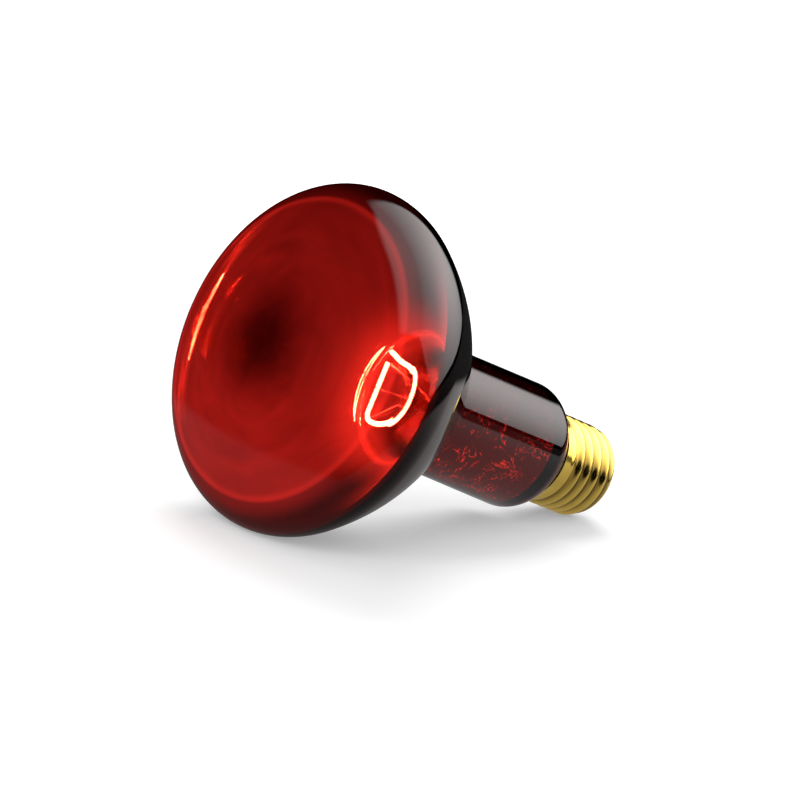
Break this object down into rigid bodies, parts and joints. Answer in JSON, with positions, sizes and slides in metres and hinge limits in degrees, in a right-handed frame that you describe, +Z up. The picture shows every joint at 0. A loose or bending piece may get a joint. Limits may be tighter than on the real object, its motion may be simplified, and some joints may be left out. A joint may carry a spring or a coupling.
{
  "type": "infrared reflector bulb",
  "caption": "Infrared heat therapy bulb: a ruby glass reflector bulb with an inner mirror, a D-shaped filament and a brass screw cap.",
  "frame": {"origin": "on the table, under the middle of the bulb's bounding box, with the bulb lying on its rim and its cap", "axes": "+Z up, +X from the face towards the cap along the table, and the bulb's own axis in the XZ plane, its face towards -X and tilted up"},
  "size_m": [0.1333, 0.095, 0.0915],
  "materials": {
    "ruby_glass": "blown, glossy, ruby red through its thickness",
    "mirror_layer": "vapour-deposited aluminium",
    "clear_glass": "clear, fire-polished",
    "shield_aluminium": "satin sheet",
    "nickel": "drawn nickel wire",
    "copper_wire": "copper-clad wire",
    "fuse_glass": "glass sleeve filled with beads",
    "hot_tungsten": "tungsten coil, glowing",
    "molybdenum": "drawn molybdenum wire",
    "brass": "bright rolled sheet",
    "black_glass": "moulded black glass",
    "cement": "baked basing cement",
    "solder": "soft solder"
  },
  "bodies": {
    "root": {"glass_neck": "ruby_glass", "glass_bowl": "ruby_glass", "glass_face": "ruby_glass", "mirror_coating": "mirror_layer", "stem_flare": "clear_glass", "stem_press": "clear_glass", "exhaust_tube": "clear_glass", "stem_rod": "clear_glass", "rod_button": "clear_glass", "heat_shield": "shield_aluminium", "shield_collar": "nickel", "inner_lead_a": "nickel", "inner_lead_b": "nickel", "seal_wires": "copper_wire", "outer_lead_centre": "copper_wire", "outer_lead_side": "copper_wire", "lead_fuse": "fuse_glass", "filament": "hot_tungsten", "filament_supports": "molybdenum", "cap_shell": "brass", "cap_insulator": "black_glass", "cap_cement": "cement", "centre_contact": "brass", "centre_solder": "solder", "side_solder": "solder"}
  },
  "joints": []
}
